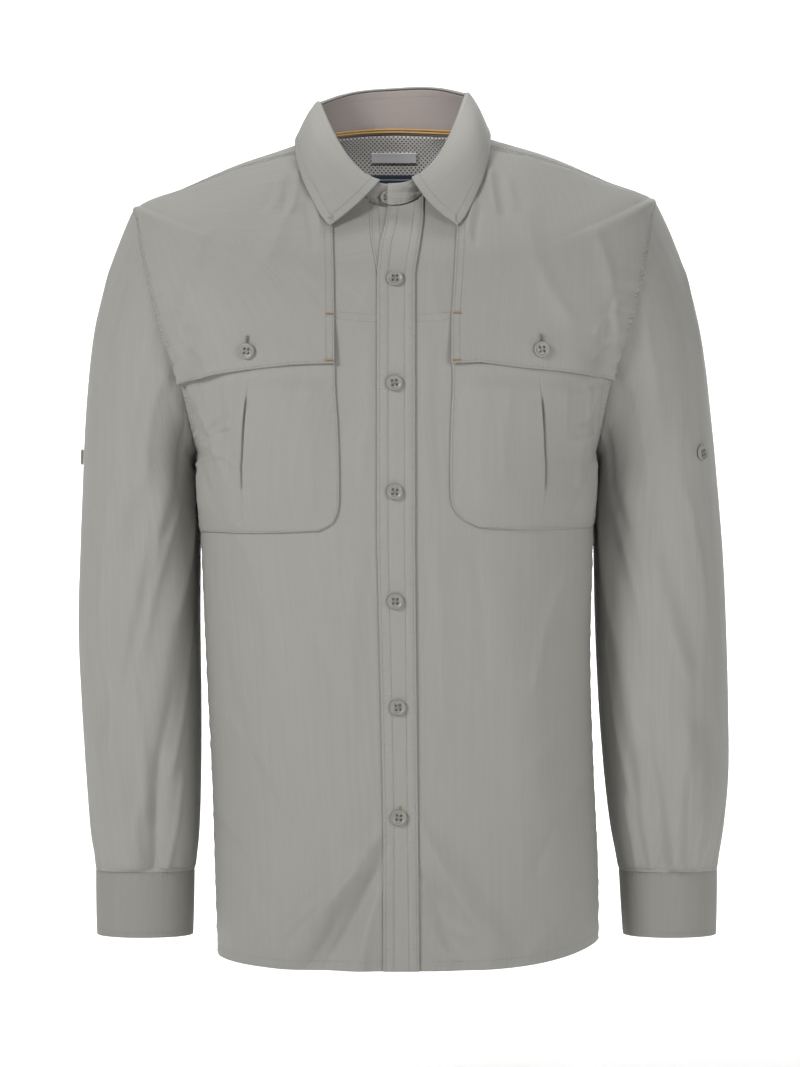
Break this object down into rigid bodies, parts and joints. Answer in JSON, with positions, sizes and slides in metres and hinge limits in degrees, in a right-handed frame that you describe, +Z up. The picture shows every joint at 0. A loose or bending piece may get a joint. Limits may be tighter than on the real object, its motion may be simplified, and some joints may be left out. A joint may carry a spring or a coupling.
{
  "type": "long-sleeve button-front shirt",
  "caption": "Long-sleeve button-front outdoor shirt with a turned-down collar, flap chest pockets and lapped cuffs, filled out as if worn and open at the neck, hem and cuffs.",
  "frame": {"origin": "midway between the high points of the shoulders, where the wearer carries the shirt", "axes": "+Z up towards the collar, -Y towards the front, +X towards the wearer's left sleeve"},
  "size_m": [0.5874, 0.2687, 0.8071],
  "materials": {
    "cloth": "plain light woven cloth with a faint upright streak",
    "inner_cloth": "plain woven cloth, inside face",
    "mesh": "knitted mesh with small holes",
    "piping": "two-cord gold tape",
    "label_dark": "woven label, bare",
    "label_pale": "woven label, bare",
    "button": "four-hole, tonal"
  },
  "bodies": {
    "root": {"front_r_lower": "cloth", "front_r_upper": "cloth", "front_l_lower": "cloth", "front_l_upper": "cloth", "back": "cloth", "yoke": "cloth", "flap_r": "cloth", "flap_l": "cloth", "pocket_r": "cloth", "pocket_l": "cloth", "sleeve_r": "cloth", "sleeve_l": "cloth", "cuff_r": "cloth", "cuff_l": "cloth", "collar": "cloth", "placket_over": "cloth", "placket_under": "cloth", "collar_stand": "inner_cloth", "yoke_lining": "mesh", "neck_tape": "piping", "label_dark": "label_dark", "label_pale": "label_pale", "button_front_1": "button", "button_front_2": "button", "button_front_3": "button", "button_front_4": "button", "button_front_5": "button", "button_front_6": "button", "button_flap_r": "button", "button_flap_l": "button", "button_sleeve_r": "button", "button_sleeve_l": "button", "button_stand": "button", "button_cuff_r": "button", "button_cuff_l": "button"}
  },
  "joints": []
}
